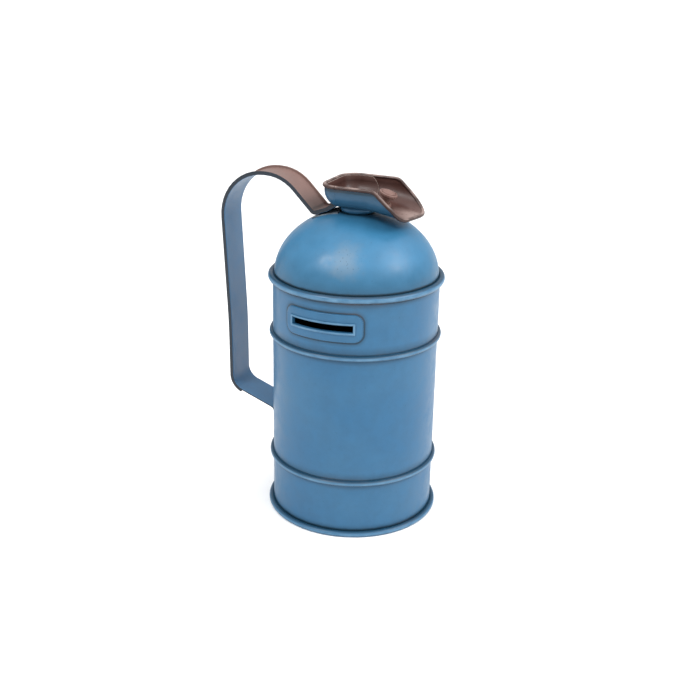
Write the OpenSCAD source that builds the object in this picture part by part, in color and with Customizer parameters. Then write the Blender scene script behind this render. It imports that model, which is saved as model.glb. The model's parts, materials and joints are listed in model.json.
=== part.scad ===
// Tin money box in the shape of a hooped pouring can: a sheet-metal cylinder
// with a domed top, a coin slot in a raised plate, a strap handle and a small
// pouring scoop with a turning knob. Coins come out through a plugged hole
// in the base.
//
// The origin is the centre of the base, on the ground. +Z is up, the scoop's
// lip points along +X, the handle stands at -X and the coin slot faces -Y.

/* [Body] */
// Radius of the cylinder's outside
wall_r = 42.5; // [41:0.5:44]
// Height of the cylinder's top, where the dome starts
wall_top = 127.3; // [126:0.1:128]
// Thickness of the sheet of wall, dome and base
sheet = 0.6; // [0.5:0.1:0.8]
// Height of the dome above the cylinder
dome_h = 33.3; // [32.5:0.1:33.5]

/* [Hoops] */
// Height of the lower hoop's middle
lower_hoop_z = 30; // [20:0.5:40]
// Height of the middle hoop's middle
middle_hoop_z = 97.5; // [90:0.5:100]
// Radius of the two hoops' section
hoop_r = 1.3; // [1:0.1:1.5]
// Radius of the section of the rolled foot
foot_r = 1.5; // [1.3:0.1:1.6]
// Radius of the section of the hoop at the shoulder
shoulder_r = 1.75; // [1.5:0.05:1.8]

/* [Coin slot] */
// Length of the slot, measured round the wall
slot_w = 32; // [28:0.5:34]
// Height of the slot
slot_h = 3.7; // [3:0.1:3.9]
// Height of the slot's middle above the ground
slot_z = 112.8; // [111:0.1:115]
// Length of the raised plate, measured round the wall
plate_w = 42; // [40:0.5:46]
// Height of the raised plate
plate_h = 14; // [12:0.5:15]
// How far the slot's turned-out edge stands out from the plate
slot_lip = 0.6; // [0.3:0.1:1]

/* [Base] */
// Height of the recessed base plate's underside
base_z = 4; // [3.5:0.5:6]
// Radius of the hole that the coins come out of
plug_r = 15; // [12:0.5:16]

/* [Handle] */
// Width of the strap
strap_w = 18; // [16:0.5:19]
// Thickness of the strap's sheet
strap_t = 0.9; // [0.8:0.1:1.2]
// How far the strap's turned-out edges stand above its outer face
strap_edge = 1.2; // [0.8:0.1:1.4]

/* [Scoop] */
// Half of the width of the scoop's rim
scoop_hw = 16.9; // [16:0.1:17.5]
// Height of the rim wire's middle above the ground
rim_z = 174.2; // [173.5:0.1:174.5]
// Thickness of the scoop's sheet
scoop_t = 0.6; // [0.5:0.1:0.8]
// Radius of the wire in the rim
rim_r = 1.1; // [0.9:0.1:1.2]
// Angle that the lip's edge slopes down at
lip_slope = 42; // [40:1:44]
// Length of the lip's sloping edge
lip_len = 21.2; // [20:0.1:21.5]

/* [Knob] */
// Radius of the knob's head
knob_r = 4.6; // [4:0.1:4.8]
// Angle that the knob leans forward at
knob_lean = 18; // [14:1:20]

/* [Hidden] */

blue = "#4f86ab";
patina = "#5f6d74";
brown = "#7a5a50";
black = "#26262a";
far = 200;                       // past the whole object, for cuts
$fn = 96;

// Wall and hoops
hoop_sink = 0.8;                 // how far a hoop's section reaches into the wall
foot_sink = 0.4;
foot_flat = 0.15;                // how much of the foot's section is flattened
shoulder_out = 0.58;             // the shoulder hoop's middle, outside the wall
shoulder_drop = 0.1;             // and below the wall's top
wall_low = 0.4;                  // the wall's lower edge, inside the rolled foot
seam_w = 5;                      // the folded seam at the back
seam_t = 0.4;
seam_low = 3.4;
seam_gap = 2;                    // how far the seam stays from each hoop
skirt = 4;                       // how far the dome reaches down inside the wall
fit_gap = 0.1;                   // room between two sheets that slide together
dome_r = wall_r - sheet - fit_gap;

// Slot plate
plate_t = 0.8;
plate_corner = 4.5;
lip_w = 1.1;                     // width of the slot's turned-out edge

// Base
base_skirt = 0.6;                // lower edge of the base plate's turned-down skirt

// Plug
plug_fit = 0.08;
plug_flange = 2.4;               // how much wider the plug's flange is than its hole
plug_z = 2.5;                    // the flange's underside
plug_len = 5;
plug_wall = 2.2;
pull_w = 3;                      // width of the bar that a finger pulls the plug by
pull_deep = 3.5;                 // how far the recess round the bar goes up
plug_web = 1;

// Scoop
scoop_fillet = 8.5;              // radius of the scoop's long bottom edges
scoop_z = 163.2;                 // underside of the scoop
scoop_back = -13.7;              // the rim wire's middle at the back
lap_x = -5;                      // where the lip's sheet starts, over the bowl's
bend_x = 10;                     // where the lip's floor starts to fall
lip_x = 14.8;                    // where the rim turns down into the lip
tip_x = 34;
tip_z = 159.2;
tip_hw = 16.6;
lap_gap = 0.05;
lip_short = 1.12;                // how far the lip's sides stop below the wire's middle
bowl_short = 0.9;
edge_drop = 1.75;                // how far the sloping cut is below the wire's middle at the top
edge_tilt = 2.5;                 // and how much less it slopes, because the floor meets it flatter
slice = 0.02;                    // thickness of the slices that the sheets are stretched over
tall = 20;                       // past the rim, for the filled shapes
edge_x = -5;                     // middle and radius of the bowl's round front edge
edge_z = 166.5;
edge_r = 9.8;
bowl_x = 6;                      // past the bowl's front edge
tip_round = 2.8;                 // how square the lip's tip is: 2 is an ellipse
tip_start = 9;                   // where the rounding of the tip starts
rim_bend = 5;
rim_sides = 10;

// Collar
collar_r = 8.7;
collar_bore = 5;
collar_sink = 0.4;               // how far the collar's underside follows the dome

// Knob
knob_x = 13.7;                   // where the knob's axis meets the scoop's floor
seat_r = 3.4;
seat_h = 2.8;
seat_deep = 0.7;                 // how far the seat goes down past its middle to meet the slope
stem_r = 2;
stem_fit = 0.08;
stem_low = 1.4;
head_z = 6.7;                    // the head's underside, along the knob's axis
head_t = 1.3;
crown_h = 1.3;
crown_r = 9;                     // radius that the head is domed to
crown_in = 1.2;                  // how far the dome stays from the head's edge
groove_in = 1;
groove_r = 0.35;

// Strap: corners of its inner face in the XZ plane, from foot to tongue, with
// the radius that each is bent to
foot_z = 40.5;
foot_top = 47;                   // where the strap's foot leaves the wall
strap_x = -wall_r - fit_gap;
strap_corners = [
    [strap_x, foot_z, 0], [strap_x, 48, 3], [-67.8, 57, 8],
    [-68, 93, 400], [-72.2, 174.4, 23], [-38, 174.4, 21],
    [-20.6, 157, 3], [-12.6, 160, 3], [-7.6, 163.3, 0]
];
flange_from = 52;                // height at which the turned-out edges start
flange_to = -9.5;                // and how far towards the scoop they run
saddle_t = 0.5;
saddle_w = 17.2;
saddle_len = 21;                 // how far the saddle reaches back from the middle
saddle_low = 10;                 // and how far down the dome
sheet_gap = 0.05;                // room between sheets that lie on each other
collar_gap = 0.2;

// ---- small helpers -------------------------------------------------------

function unit(v) = v / norm(v);
function left(v) = [-v.y, v.x];
function turn(u, v) = atan2(cross(u, v), u * v);
function spin(v, a) = [v.x * cos(a) - v.y * sin(a), v.x * sin(a) + v.y * cos(a)];

// Points and left-hand normals along a chain of corners, each bent to a radius
function bent(c) = [
    for (i = [0 : len(c) - 1])
    let (
        p = [c[i].x, c[i].y],
        u = i == 0 ? unit([c[1].x, c[1].y] - p) : unit(p - [c[i - 1].x, c[i - 1].y]),
        v = i == len(c) - 1 ? u : unit([c[i + 1].x, c[i + 1].y] - p),
        t = turn(u, v),
        r = c[i].z,
        n = r == 0 ? 0 : max(3, ceil(abs(t) / 8)),
        start = p - u * r * tan(abs(t) / 2)
    )
    for (k = [0 : n])
    let (a = n == 0 ? 0 : t * k / n)
    [start + sign(t) * r * (left(u) - left(spin(u, a))), left(spin(u, a))]
];

// The strip between two distances from a chain of points, seen from the side
module strip(path, near, out) {
    n = len(path) - 1;
    polygon(concat(
        [for (i = [0 : n]) path[i][0] + path[i][1] * out],
        [for (i = [n : -1 : 0]) path[i][0] + path[i][1] * near]
    ));
}

// Stands a shape drawn in X and Z upright, centred on the XZ plane
module upright(w) {
    translate([0, w / 2, 0]) rotate([90, 0, 0]) linear_extrude(w) children();
}

// A round wire along a list of points, closed at both ends
module wire(points, r) {
    n = len(points) - 1;
    rings = [
        for (i = [0 : n])
        let (
            t = unit(points[min(n, i + 1)] - points[max(0, i - 1)]),
            a = unit(cross(t, [0, 0, 1])),
            b = cross(a, t)
        )
        for (k = [0 : rim_sides - 1])
        points[i] + r * (a * cos(360 * k / rim_sides) + b * sin(360 * k / rim_sides))
    ];
    sides = [
        for (i = [0 : n - 1], k = [0 : rim_sides - 1])
        let (m = (k + 1) % rim_sides)
        [i * rim_sides + k, (i + 1) * rim_sides + k, (i + 1) * rim_sides + m, i * rim_sides + m]
    ];
    ends = [
        [for (k = [0 : rim_sides - 1]) k],
        [for (k = [rim_sides - 1 : -1 : 0]) n * rim_sides + k]
    ];
    polyhedron(rings, concat(sides, ends), convexity = 8);
}

// Half the straight width of something of length w round the wall
function chord(w) = wall_r * sin(w / wall_r * 90 / PI);

// ---- body ----------------------------------------------------------------

// Outline of the dome's solid, in radius and height, grown by more
module dome_outline(more) {
    a = dome_r + more;
    b = dome_h + more;
    polygon(concat(
        [[0, wall_top]],
        [for (k = [0 : 36]) [a * cos(k * 2.5), wall_top + b * sin(k * 2.5)]]
    ));
}

module dome_solid(more) {
    rotate_extrude() dome_outline(more);
}

module tube(outer, inner, low, high) {
    difference() {
        translate([0, 0, low]) cylinder(r = outer, h = high - low);
        translate([0, 0, low - 1]) cylinder(r = inner, h = high - low + 2);
    }
}

// A rounded rectangle pushed through the front of the wall
module front_window(w, h, corner) {
    translate([0, 0, slot_z]) rotate([90, 0, 0]) linear_extrude(far)
        hull() for (x = [-1, 1], z = [-1, 1])
            translate([x * (w / 2 - corner), z * (h / 2 - corner)]) circle(corner, $fn = 32);
}

// The slot, cut through the wall and the plate
module slot_cut() {
    w = 2 * chord(slot_w);
    translate([-w / 2, -far, slot_z - slot_h / 2]) cube([w, far, slot_h]);
}

module body_wall() color(blue) {
    difference() {
        tube(wall_r, wall_r - sheet, wall_low, wall_top);
        slot_cut();
    }
    back_seam(seam_low, lower_hoop_z - seam_gap);
    back_seam(lower_hoop_z + seam_gap, middle_hoop_z - seam_gap);
    back_seam(middle_hoop_z + seam_gap, wall_top - seam_gap);
}

// A stretch of the folded seam at the back, between two hoops
module back_seam(low, high) {
    intersection() {
        tube(wall_r + seam_t, wall_r - sheet / 2, low, high);
        translate([-seam_w / 2, 0, 0]) cube([seam_w, far, far]);
    }
}

module slot_plate() color(blue) {
    difference() {
        union() {
            intersection() {
                tube(wall_r + plate_t, wall_r, slot_z - far / 2, slot_z + far / 2);
                front_window(2 * chord(plate_w), plate_h, plate_corner);
            }
            intersection() {
                tube(wall_r + plate_t + slot_lip, wall_r, slot_z - far / 2, slot_z + far / 2);
                front_window(2 * chord(slot_w) + 2 * lip_w, slot_h + 2 * lip_w, lip_w);
            }
        }
        slot_cut();
    }
}

// A half-round hoop lying against the wall
module hoop(z, r) {
    rotate_extrude() difference() {
        translate([wall_r + r - hoop_sink, z]) circle(r, $fn = 32);
        square([wall_r, far]);
    }
}

module lower_hoop() color(blue) hoop(lower_hoop_z, hoop_r);

module middle_hoop() color(blue) hoop(middle_hoop_z, hoop_r);

module foot_hoop() color(blue) {
    intersection() {
        rotate_extrude() difference() {
            translate([wall_r + foot_r - foot_sink, foot_r - foot_flat]) circle(foot_r, $fn = 32);
            square([wall_r, far]);
        }
        cylinder(r = far, h = far);
    }
}

module shoulder_hoop() color(blue) {
    rotate_extrude() difference() {
        translate([wall_r + shoulder_out, wall_top - shoulder_drop]) circle(shoulder_r, $fn = 32);
        square([wall_r, wall_top]);
        square([dome_r, far]);
    }
}

module dome() color(blue) {
    rotate_extrude() difference() {
        union() {
            dome_outline(0);
            translate([0, wall_top - skirt]) square([dome_r, skirt]);
        }
        union() {
            dome_outline(-sheet);
            translate([0, wall_top - skirt - 1]) square([dome_r - sheet, skirt + 1]);
        }
    }
}

module base_plate() color(patina) {
    r = wall_r - sheet - fit_gap;
    difference() {
        cylinder_between(r, base_skirt, base_z + sheet);
        translate([0, 0, -1]) cylinder(r = r - sheet, h = base_z + 1);
        cylinder(r = plug_r, h = far);
    }
}

module base_plug() color(black) {
    body_r = plug_r - plug_fit;
    top = base_z + sheet + plug_len;
    difference() {
        union() {
            cylinder_between(plug_r + plug_flange, plug_z, base_z);
            cylinder_between(body_r, plug_z, top);
        }
        cylinder_between(body_r - plug_wall, plug_z + pull_deep + plug_web, far);
        difference() {
            cylinder_between(body_r - plug_wall, 0, plug_z + pull_deep);
            translate([-plug_r, -pull_w / 2, 0]) cube([2 * plug_r, pull_w, far]);
        }
    }
}

module cylinder_between(r, low, high) {
    translate([0, 0, low]) cylinder(r = r, h = high - low);
}

// ---- scoop ---------------------------------------------------------------

module neck_collar() color(blue) {
    half = (scoop_z - wall_top - dome_h + 2 * collar_sink) / 2;
    rotate_extrude() difference() {
        union() {
            translate([collar_r - half, scoop_z - half]) circle(half, $fn = 32);
            translate([collar_bore, scoop_z - 2 * half]) square([collar_r - half - collar_bore, 2 * half]);
        }
        dome_outline(0);
    }
}

// How far the scoop's floor has fallen, and its sides drawn in, at a place along X
function along_lip(x) = max(0, x - bend_x) / (tip_x - bend_x);
function floor_at(x) = scoop_z - along_lip(x) * (scoop_z - tip_z);
function half_at(x) = scoop_hw - along_lip(x) * (scoop_hw - tip_hw);

// Filled section of the scoop across X, drawn in by inset
module scoop_slab(x, inset) {
    r = scoop_fillet - inset;
    w = half_at(x) - inset;
    translate([x, 0, floor_at(x) + inset]) rotate([90, 0, 90]) linear_extrude(slice) {
        for (s = [-1, 1]) translate([s * (w - r), r]) circle(r, $fn = 48);
        translate([r - w, 0]) square([2 * (w - r), r]);
        translate([-w, r]) square([2 * w, tall]);
    }
}

// Filled shape of the lip, drawn in by inset and longer at both ends by more
module lip_solid(inset, more) {
    hull() {
        scoop_slab(lap_x - more, inset);
        scoop_slab(bend_x, inset);
    }
    hull() {
        scoop_slab(bend_x, inset);
        scoop_slab(tip_x + more, inset);
    }
}

// Filled shape of the bowl, drawn in by inset and longer in front by more
module bowl_solid(inset, more) {
    r = scoop_fillet - inset;
    hull() {
        scoop_slab(bowl_x + more, inset);
        for (s = [-1, 1])
            translate([scoop_back + scoop_fillet, s * (scoop_hw - scoop_fillet), scoop_z + scoop_fillet]) {
                sphere(r, $fn = 48);
                cylinder(r = r, h = tall, $fn = 48);
            }
    }
}

// Edge of the lip in its sloping plane, from the near side round to the far one
function lip_edge(t) = [
    tip_start + (lip_len - tip_start) * pow(abs(cos(t)), 2 / tip_round),
    sign(t) * tip_hw * pow(abs(sin(t)), 2 / tip_round)
];

// A point of the lip's sloping plane
function on_slope(s, y) = [lip_x + s * cos(lip_slope), y, rim_z - s * sin(lip_slope)];

// Everything below the lip's sloping edge, and below the wire that lies on it
module below_lip_edge() {
    translate([lip_x, 0, rim_z]) rotate([0, lip_slope - edge_tilt, 0])
        translate([0, 0, -far - edge_drop]) linear_extrude(far) polygon(concat(
            [[-far, far], [-far, -far], [0, -far], [0, -scoop_hw - lip_short], [tip_start, -tip_hw]],
            [for (t = [-80 : 10 : 80]) lip_edge(t)],
            [[tip_start, tip_hw], [0, scoop_hw + lip_short], [0, far]]
        ));
}

// Everything up to a height
module below(z) {
    translate([-far / 2, -far / 2, 0]) cube([far, far, z]);
}

module pouring_lip() color(brown) {
    intersection() {
        difference() {
            lip_solid(0, 0);
            lip_solid(scoop_t, 1);
        }
        below(rim_z - lip_short);
        below_lip_edge();
    }
}

module basin() color(brown) {
    lap = scoop_t + lap_gap;
    intersection() {
        difference() {
            bowl_solid(lap, 0);
            bowl_solid(lap + scoop_t, 1);
        }
        below(rim_z - bowl_short);
        union() {
            translate([edge_x, 30, edge_z]) rotate([90, 0, 0]) cylinder(r = edge_r, h = 60);
            translate([edge_x - 60, -30, 0]) cube([60, 60, far]);
            translate([edge_x - 1, -30, 0]) cube([edge_r + 0.9, 60, edge_z]);
        }
    }
}

module basin_rim() color(brown) {
    c = [scoop_back + scoop_fillet, scoop_hw - scoop_fillet];
    near = [
        for (a = [0 : 10 : 90])
        [c.x - scoop_fillet * sin(a), -c.y - scoop_fillet * cos(a), rim_z]
    ];
    back = [for (i = [len(near) - 1 : -1 : 0]) [near[i].x, -near[i].y, rim_z]];
    wire(concat(near, back), rim_r);
}

// The wire runs from the bowl's rim on one side to that on the other
module lip_rim() color(brown) {
    start = scoop_back + scoop_fillet + fit_gap;
    half = rim_bend * tan(lip_slope / 2);
    side = concat(
        [[start, -scoop_hw, rim_z], [(start + lip_x) / 2, -scoop_hw, rim_z]],
        [
            for (a = [0 : lip_slope / 4 : lip_slope])
            [lip_x - half + rim_bend * sin(a), -scoop_hw, rim_z - rim_bend * (1 - cos(a))]
        ],
        [for (t = [-80 : 8 : 0]) on_slope(lip_edge(t).x, lip_edge(t).y)]
    );
    n = len(side) - 2;
    wire(concat(side, [for (i = [n : -1 : 0]) [side[i].x, -side[i].y, side[i].z]]), rim_r);
}

// ---- knob ----------------------------------------------------------------

// The knob's own frame: its axis is Z, and the floor under it is at 0
module knob_frame() {
    translate([knob_x, 0, floor_at(knob_x) + scoop_t]) rotate([0, knob_lean, 0]) children();
}

// Everything under the lip's sloping floor
module below_floor() {
    translate([bend_x, 0, floor_at(bend_x) + scoop_t])
        rotate([0, atan((scoop_z - tip_z) / (tip_x - bend_x)), 0])
            translate([-tall, -tall, -tall]) cube([3 * tall, 2 * tall, tall]);
}

module knob_seat() color(brown) {
    difference() {
        knob_frame() cylinder_between(seat_r, -seat_deep, seat_h);
        knob_frame() cylinder_between(stem_r + stem_fit, -tall, tall);
        below_floor();
    }
}

module knob_stem() color(brown) {
    knob_frame() cylinder_between(stem_r, stem_low, head_z + head_t / 2);
}

module knob_head() color(brown) knob_frame() {
    rotate_extrude() difference() {
        union() {
            translate([0, head_z]) square([knob_r, head_t]);
            intersection() {
                translate([0, head_z + head_t + crown_h - crown_r]) circle(crown_r);
                translate([0, head_z + head_t]) square([knob_r - crown_in, crown_r]);
            }
        }
        translate([knob_r - groove_in, head_z + head_t]) circle(groove_r, $fn = 24);
        square([stem_r, head_z + head_t / 2]);
        translate([-far, -far]) square([far, 2 * far]);
    }
}

// ---- handle --------------------------------------------------------------

module handle_strap() color(brown) {
    path = bent(strap_corners);
    difference() {
        union() {
            upright(strap_w) strip(path, 0, strap_t);
            intersection() {
                for (s = [-1, 1])
                    translate([0, s * (strap_w - strap_t) / 2, 0]) upright(strap_t)
                        strip(path, 0, strap_t + strap_edge);
                translate([flange_to - far, -far, flange_from]) cube([far, 2 * far, far]);
            }
            // the foot, curved to lie against the wall
            intersection() {
                tube(wall_r + fit_gap + strap_t, wall_r + fit_gap, foot_z, foot_top);
                translate([-far, -strap_w / 2, 0]) cube([far, strap_w, far]);
            }
        }
        cylinder_between(wall_r + fit_gap, 0, wall_top);
        dome_solid(saddle_t + sheet_gap);
        cylinder_between(collar_r + collar_gap, wall_top, far);
    }
}

module strap_saddle() color(patina) {
    intersection() {
        difference() {
            dome_solid(saddle_t);
            dome_solid(0);
            cylinder_between(collar_r + collar_gap, wall_top, far);
        }
        translate([-saddle_len, -saddle_w / 2, wall_top + saddle_low]) cube([saddle_len, saddle_w, far]);
    }
}

body_wall();
slot_plate();
foot_hoop();
lower_hoop();
middle_hoop();
shoulder_hoop();
dome();
base_plate();
base_plug();
neck_collar();
basin();
basin_rim();
pouring_lip();
lip_rim();
knob_seat();
knob_stem();
knob_head();
handle_strap();
strap_saddle();
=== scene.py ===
"""A tin money box in the shape of a hooped pouring can, built as a Blender add-on.

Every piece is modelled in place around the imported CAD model: +Z is up, the
scoop's lip points along +X, the handle stands at -X and the slot faces -Y.
Lengths in this file are in millimetres until MM turns them into metres.
"""

import math

import json

import bmesh
import bpy
from bpy.props import FloatProperty, FloatVectorProperty, PointerProperty
from bpy.types import Operator, Panel, PropertyGroup
from mathutils import Matrix, Vector


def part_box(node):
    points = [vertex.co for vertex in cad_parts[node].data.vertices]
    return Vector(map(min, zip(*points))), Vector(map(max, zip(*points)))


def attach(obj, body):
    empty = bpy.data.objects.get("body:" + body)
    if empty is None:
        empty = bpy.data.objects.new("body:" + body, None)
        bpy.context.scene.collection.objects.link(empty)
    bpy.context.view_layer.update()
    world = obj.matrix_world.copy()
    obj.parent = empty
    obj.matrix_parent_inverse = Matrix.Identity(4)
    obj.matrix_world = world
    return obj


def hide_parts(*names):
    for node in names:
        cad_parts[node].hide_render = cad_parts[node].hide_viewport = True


bl_info = {
    "name": "Tin money box",
    "version": (1, 0, 0),
    "blender": (4, 5, 0),
    "location": "3D View > Sidebar > Money box",
    "description": "Models a painted tin money box with a pouring scoop and a strap handle",
    "category": "Add Mesh",
}

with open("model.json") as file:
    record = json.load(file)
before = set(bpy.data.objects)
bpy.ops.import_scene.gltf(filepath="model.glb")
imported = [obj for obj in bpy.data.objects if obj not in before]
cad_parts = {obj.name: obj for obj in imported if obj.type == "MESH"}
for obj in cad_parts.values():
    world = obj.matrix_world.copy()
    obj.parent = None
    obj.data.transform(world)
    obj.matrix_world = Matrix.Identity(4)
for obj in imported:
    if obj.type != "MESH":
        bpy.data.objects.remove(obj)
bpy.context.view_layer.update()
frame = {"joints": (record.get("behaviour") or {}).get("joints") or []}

MM = 0.001
ROUND = 192  # steps in a full turn of the can

# Body
WALL_TOP = 127.3
WALL_LOW = 0.4
SHEET = 0.6
SKIRT = 4.0
DOME_GAP = 0.1
SEAM_W = 5.0
SEAM_T = 0.4
SEAM_GAP = 2.0
SEAM_LOW = 3.4

# Slot plate
PLATE_T = 0.8
PLATE_CORNER = 4.5
PLATE_HALF_W = 21.0
PLATE_HALF_H = 7.0
SLOT_LIP_W = 1.1
SLOT_LIP_T = 0.6

# Scoop
SCOOP_Z = 163.2
SCOOP_BACK = -13.7
SCOOP_FILLET = 8.5
LAP_X = -5.0
LAP_IN = 0.65
BEND_X = 10.0
CORNER_X = 14.8
SLOPE = math.radians(42)
TIP_X = 34.0
TIP_FALL = 4.0
TIP_HALF = 16.6
KNOB_Z = 6.7  # the underside of the knob's head, above the scoop's floor
TIP_START = 8.0  # how far down the slope the tip starts to be rounded
LIP_BEND = 5.0  # radius of the rim's bend from level to slope
LIP_STEPS = 6
SCOOP_T = 0.6

# Collar: the centre and radius of its round section, and where that is flattened
COLLAR_AT = (6.8, 161.5)
COLLAR_SECTION = 1.9
COLLAR_TOP = 163.15
COLLAR_INNER = 5.1

# Strap
STRAP_T = 0.9
FLANGE_OUT = 1.19
# corners of the inner face (x, z, bend radius), from foot to tongue
STRAP_CORNERS = (
    (-42.6, 40.5, 0), (-42.6, 48, 3), (-67.8, 57, 8), (-68, 93, 400), (-72.2, 174.4, 23),
    (-38, 174.4, 21), (-20.6, 157, 3), (-12.6, 160, 3), (-7.6, 163.3, 0),
)

# Camera: place in metres, turns in degrees about Z, then X, then its own axis, and lens
CAMERA_AT = (0.20146, -0.47461, 0.28605)
CAMERA_TURNS = (23.28, 68.76, 1.15)
CAMERA_LENS = 54.53


# ---- sizes and colours that a user would change -------------------------------


def linear(hex_colour):
    """Turns an sRGB hex colour into the linear RGBA that Blender works in"""
    parts = [int(hex_colour[i:i + 2], 16) / 255 for i in (1, 3, 5)]
    return tuple(c / 12.92 if c <= 0.04045 else ((c + 0.055) / 1.055) ** 2.4 for c in parts) + (1.0,)


def length(name, description, default):
    """A length in metres, given in millimetres"""
    return FloatProperty(name=name, description=description, default=default * MM, unit="LENGTH", precision=4)


def colour(name, description, default):
    """A colour, given as sRGB hex"""
    return FloatVectorProperty(
        name=name, description=description, default=linear(default), subtype="COLOR", size=4, min=0, max=1
    )


class MoneyBoxSizes(PropertyGroup):
    wall_r: length("Wall radius", "Radius of the can's wall", 42.5)
    hoop_r: length("Hoop radius", "Radius of the section of the two hoops", 1.3)
    lower_hoop: length("Lower hoop", "Height of the lower hoop", 30)
    middle_hoop: length("Middle hoop", "Height of the middle hoop", 97.5)
    dome_h: length("Dome height", "Height of the dome above the wall", 33.3)
    slot_w: length("Slot length", "Length of the coin slot", 31.25)
    slot_h: length("Slot height", "Height of the coin slot", 3.7)
    slot_z: length("Slot place", "Height of the slot's middle above the ground", 112.8)
    strap_w: length("Strap width", "Width of the handle's strap", 18)
    rim_z: length("Rim height", "Height of the scoop's rim above the ground", 174.2)
    rim_r: length("Rim radius", "Radius of the scoop's rolled rim", 0.95)
    scoop_half: length("Scoop half width", "Half of the scoop's width at its rim", 16.9)
    knob_r: length("Knob radius", "Radius of the knob's head", 4.6)


class MoneyBoxColours(PropertyGroup):
    blue: colour("Blue", "Blue paint of the can", "#265a7e")
    # the dome's blue is lighter than the wall's: painted light, for the light the dome catches from above
    lit_blue_dome: colour("Dome blue", "Blue paint of the dome, which the light has faded", "#306a8e")
    blue_grey: colour("Faded blue", "Blue paint where it has faded", "#3a6785")
    # pale blue for rubbed paint and for the painted highlights on the hoops and the slot's lip
    blue_pale_worn_and_lit: colour("Pale blue", "Blue paint where it is rubbed", "#7fa3bb")
    strap_in: colour("Strap inside", "Blue-grey paint inside the strap", "#3c6688")
    strap_faded: colour("Strap faded", "Paint inside the strap where it has faded", "#4b7496")
    strap_out: colour("Strap outside", "Brown paint outside the strap", "#6e5650")
    strap_edge: colour("Strap edge", "Dark paint on the strap's turned-out edges", "#1a242e")
    # dark teal for the glaze in the creases, which also paints the shade there
    teal: colour("Teal patina", "Dark glaze that lies in the creases", "#0d2836")
    umber: colour("Umber patina", "Brown glaze and rust in the creases", "#4a3a30")
    brown: colour("Brown", "Brown paint inside the scoop", "#432a25")
    brown_worn: colour("Worn brown", "Brown paint where it has faded", "#6a4d46")
    # pale brown for rubbed paint and bare edges, and for the painted highlight on the rim and the painted reflection on
    # the scoop's floor
    brown_pale_worn_and_lit: colour("Pale brown", "Brown paint where it is rubbed", "#94807a")
    # dark brown: the rim's own paint, and the glaze and painted shade in the corners of the scoop and the strap
    brown_dark: colour("Dark brown", "Brown paint in the corners", "#2c1814")
    # a darker copy of the blue: painted shade under the scoop
    blue_painted_shade: colour("Deep blue", "Blue paint under the scoop", "#254860")
    bare: colour("Bare tin", "Tin that shows through the paint", "#a3a096")
    rubber: colour("Rubber", "Rubber of the plug", "#1d1d20")


def sizes():
    return bpy.context.scene.money_box_sizes


def colours():
    return bpy.context.scene.money_box_colours


# ---- modelling ------------------------------------------------------------------


def mm(*values):
    """Millimetres to metres"""
    return tuple(v * MM for v in values)


def fresh(name, add_primitive, **settings):
    """Adds one primitive, alone in the selection, and opens it in edit mode"""
    if bpy.context.mode != "OBJECT":
        bpy.ops.object.mode_set(mode="OBJECT")
    bpy.ops.object.select_all(action="DESELECT")
    add_primitive(**settings)
    piece = bpy.context.object
    piece.name = piece.data.name = name
    bpy.ops.object.transform_apply(location=True, rotation=True, scale=True)
    bpy.ops.object.mode_set(mode="EDIT")
    bpy.ops.mesh.select_all(action="SELECT")
    return piece


def only(piece):
    """Makes a piece the selected and active one, in object mode"""
    if bpy.context.mode != "OBJECT":
        bpy.ops.object.mode_set(mode="OBJECT")
    bpy.ops.object.select_all(action="DESELECT")
    piece.select_set(True)
    bpy.context.view_layer.objects.active = piece


def pick(kind, wanted):
    """In edit mode, selects just the verts, edges or faces that wanted() says"""
    bpy.ops.mesh.select_mode(type={"verts": "VERT", "edges": "EDGE", "faces": "FACE"}[kind])
    bpy.ops.mesh.select_all(action="DESELECT")
    mesh = bpy.context.object.data
    shape = bmesh.from_edit_mesh(mesh)
    for part in getattr(shape, kind):
        if wanted(part):
            part.select_set(True)
    shape.select_flush_mode()
    bmesh.update_edit_mesh(mesh)


def middle(edge):
    return (edge.verts[0].co + edge.verts[1].co) / 2


def cut(place, normal, drop_outer=False):
    """Cuts the whole mesh along a plane, and drops what is on the normal's side"""
    bpy.ops.mesh.select_all(action="SELECT")
    bpy.ops.mesh.bisect(plane_co=place, plane_no=normal, clear_outer=drop_outer, threshold=1e-7)


def finish_with(piece, kind, **settings):
    """Adds one modifier and applies it"""
    only(piece)
    bpy.ops.object.modifier_add(type=kind)
    modifier = piece.modifiers[-1]
    for key, value in settings.items():
        setattr(modifier, key, value)
    bpy.ops.object.modifier_apply(modifier=modifier.name)


def soften(piece, width, angle=40, segments=2):
    """Rounds the sharp edges of a finished sheet"""
    finish_with(
        piece, "BEVEL", width=width * MM, segments=segments, limit_method="ANGLE", angle_limit=math.radians(angle)
    )


def dress(piece, *finishes):
    """Gives a piece its finishes, one slot each"""
    for finish in finishes:
        piece.data.materials.append(finish)


def hand_over(piece, slot, body, *nodes, smooth=35):
    """Shades a piece and puts it in the place of its CAD nodes"""
    only(piece)
    bpy.ops.object.transform_apply(location=True, rotation=True, scale=True)
    bpy.ops.object.shade_smooth_by_angle(angle=math.radians(smooth))
    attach(piece, body)
    if nodes:
        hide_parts(*nodes)


def rounded(corners):
    """Points along a chain of corners (a, b, radius), each corner rounded to its radius"""
    points = []
    for i, (a, b, radius) in enumerate(corners):
        here = Vector((a, b))
        if radius == 0 or i in (0, len(corners) - 1):
            points.append(here)
            continue
        before = (here - Vector(corners[i - 1][:2])).normalized()
        after = (Vector(corners[i + 1][:2]) - here).normalized()
        turn = before.angle_signed(after, 0.0)
        start = here - before * radius * math.tan(abs(turn) / 2)
        side = Vector((-before.y, before.x)) * (-1 if turn > 0 else 1)
        centre = start + side * radius
        count = max(3, math.ceil(abs(turn) / math.radians(8)))
        for k in range(count + 1):
            points.append(centre + Matrix.Rotation(-turn * k / count, 2) @ (start - centre))
    return points


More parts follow.
